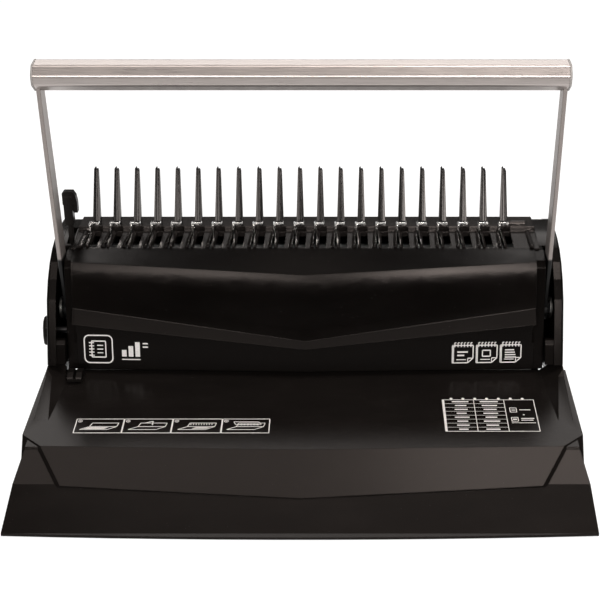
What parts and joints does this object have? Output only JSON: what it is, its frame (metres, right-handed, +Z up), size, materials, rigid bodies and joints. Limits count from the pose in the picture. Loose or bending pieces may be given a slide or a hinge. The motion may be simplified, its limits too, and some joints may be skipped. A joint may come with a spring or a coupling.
{
  "type": "comb binding machine",
  "caption": "Desktop comb binding machine: black housing with a faceted paper tray, row of comb fingers, opener hooks, hand lever with a silver bar, hidden punch and chip drawer.",
  "frame": {"origin": "on the table plane, under the middle of the bounding box", "axes": "+X to the user's right along the handle and the row of fingers, +Y to the rear, +Z up"},
  "size_m": [0.3586, 0.2361, 0.2544],
  "materials": {
    "housing_black": "moulded ABS, fine spark texture, semi-gloss",
    "deck_black": "moulded ABS, satin",
    "finger_black": "black nylon, satin",
    "trim_black": "moulded plastic, satin",
    "handle_silver": "extruded aluminium, satin silver lacquer",
    "cap_grey": "grey plastic",
    "arm_grey": "warm grey powder coat",
    "hook_steel": "bright nickel plate",
    "tool_steel": "ground tool steel",
    "frame_steel": "zinc plated sheet",
    "base_steel": "black painted sheet",
    "rubber": "moulded rubber",
    "screw_steel": "zinc plated screws",
    "bush_white": "natural acetal",
    "drawer_black": "moulded plastic, satin"
  },
  "bodies": {
    "root": {"front_tray": "housing_black", "rear_base": "housing_black", "base_plate": "base_steel", "rubber_feet": "rubber", "case_screws": "screw_steel", "front_cover": "housing_black", "comb_deck": "deck_black", "comb_fingers": "finger_black", "left_end_cap": "housing_black", "right_end_cap": "housing_black", "rear_cover": "housing_black", "left_side_frame": "frame_steel", "right_side_frame": "frame_steel", "left_bush": "bush_white", "right_bush": "bush_white", "die_plate": "tool_steel", "paper_stop": "frame_steel", "punch_guide": "frame_steel", "tie_rods": "frame_steel", "spring_pins": "frame_steel", "frame_screws": "screw_steel", "hook_stop_strip": "hook_steel", "carriage_rails": "bush_white", "drawer_rails": "trim_black"},
    "lever": {"drive_shaft": "tool_steel", "left_arm": "arm_grey", "right_arm": "arm_grey", "arm_screws": "screw_steel", "handle_tube": "handle_silver", "handle_plugs": "trim_black", "left_handle_cap": "cap_grey", "right_handle_cap": "cap_grey", "handle_screws": "screw_steel", "punch_cranks": "frame_steel", "opener_cranks": "frame_steel"},
    "punch_group": {"punch_bar": "frame_steel", "punch_pins": "tool_steel", "punch_forks": "frame_steel", "punch_springs": "tool_steel"},
    "comb_opener": {"hook_carriage": "frame_steel", "comb_hooks": "hook_steel", "opener_yokes": "frame_steel"},
    "edge_guide": {"edge_guide": "trim_black"},
    "edge_guide_dial": {"edge_guide_screw": "frame_steel", "edge_guide_knob": "trim_black"},
    "comb_stop": {"comb_stop_lever": "trim_black"},
    "chip_drawer": {"chip_drawer": "drawer_black"}
  },
  "joints": [
    {"name": "lever_swing", "type": "hinge", "parent": "root", "child": "lever", "pos_m": [0, 0.0535, 0.076], "axis": [1, 0, 0], "range_deg": [0, 75], "stiffness_Nm_per_rad": 1.2, "springref_deg": -34.38},
    {"name": "punch_stroke", "type": "slide", "parent": "root", "child": "punch_group", "axis": [0, 0, -1], "range_m": [0, 0.01183], "deforming": ["punch_springs"]},
    {"name": "opener_stroke", "type": "slide", "parent": "root", "child": "comb_opener", "axis": [0, -1, 0], "range_m": [0, 0.02365]},
    {"name": "dial_turn", "type": "hinge", "parent": "root", "child": "edge_guide_dial", "pos_m": [-0.17, 0.0385, 0.066], "axis": [1, 0, 0], "range_deg": [0, 180.5]},
    {"name": "guide_shift", "type": "slide", "parent": "root", "child": "edge_guide", "axis": [1, 0, 0], "range_m": [0, 0.0025]},
    {"name": "stop_slide", "type": "slide", "parent": "root", "child": "comb_stop", "axis": [0, 1, 0], "range_m": [-0.005, 0.012]},
    {"name": "drawer_pull", "type": "slide", "parent": "root", "child": "chip_drawer", "axis": [0, 1, 0], "range_m": [0, 0.075]}
  ],
  "couplings": [
    {"joint": "punch_stroke", "follows": "lever_swing", "m_per_rad": 0.0090222},
    {"joint": "opener_stroke", "follows": "lever_swing", "m_per_rad": 0.018044},
    {"joint": "dial_turn", "follows": "guide_shift", "rad_per_m": 1256.6}
  ]
}
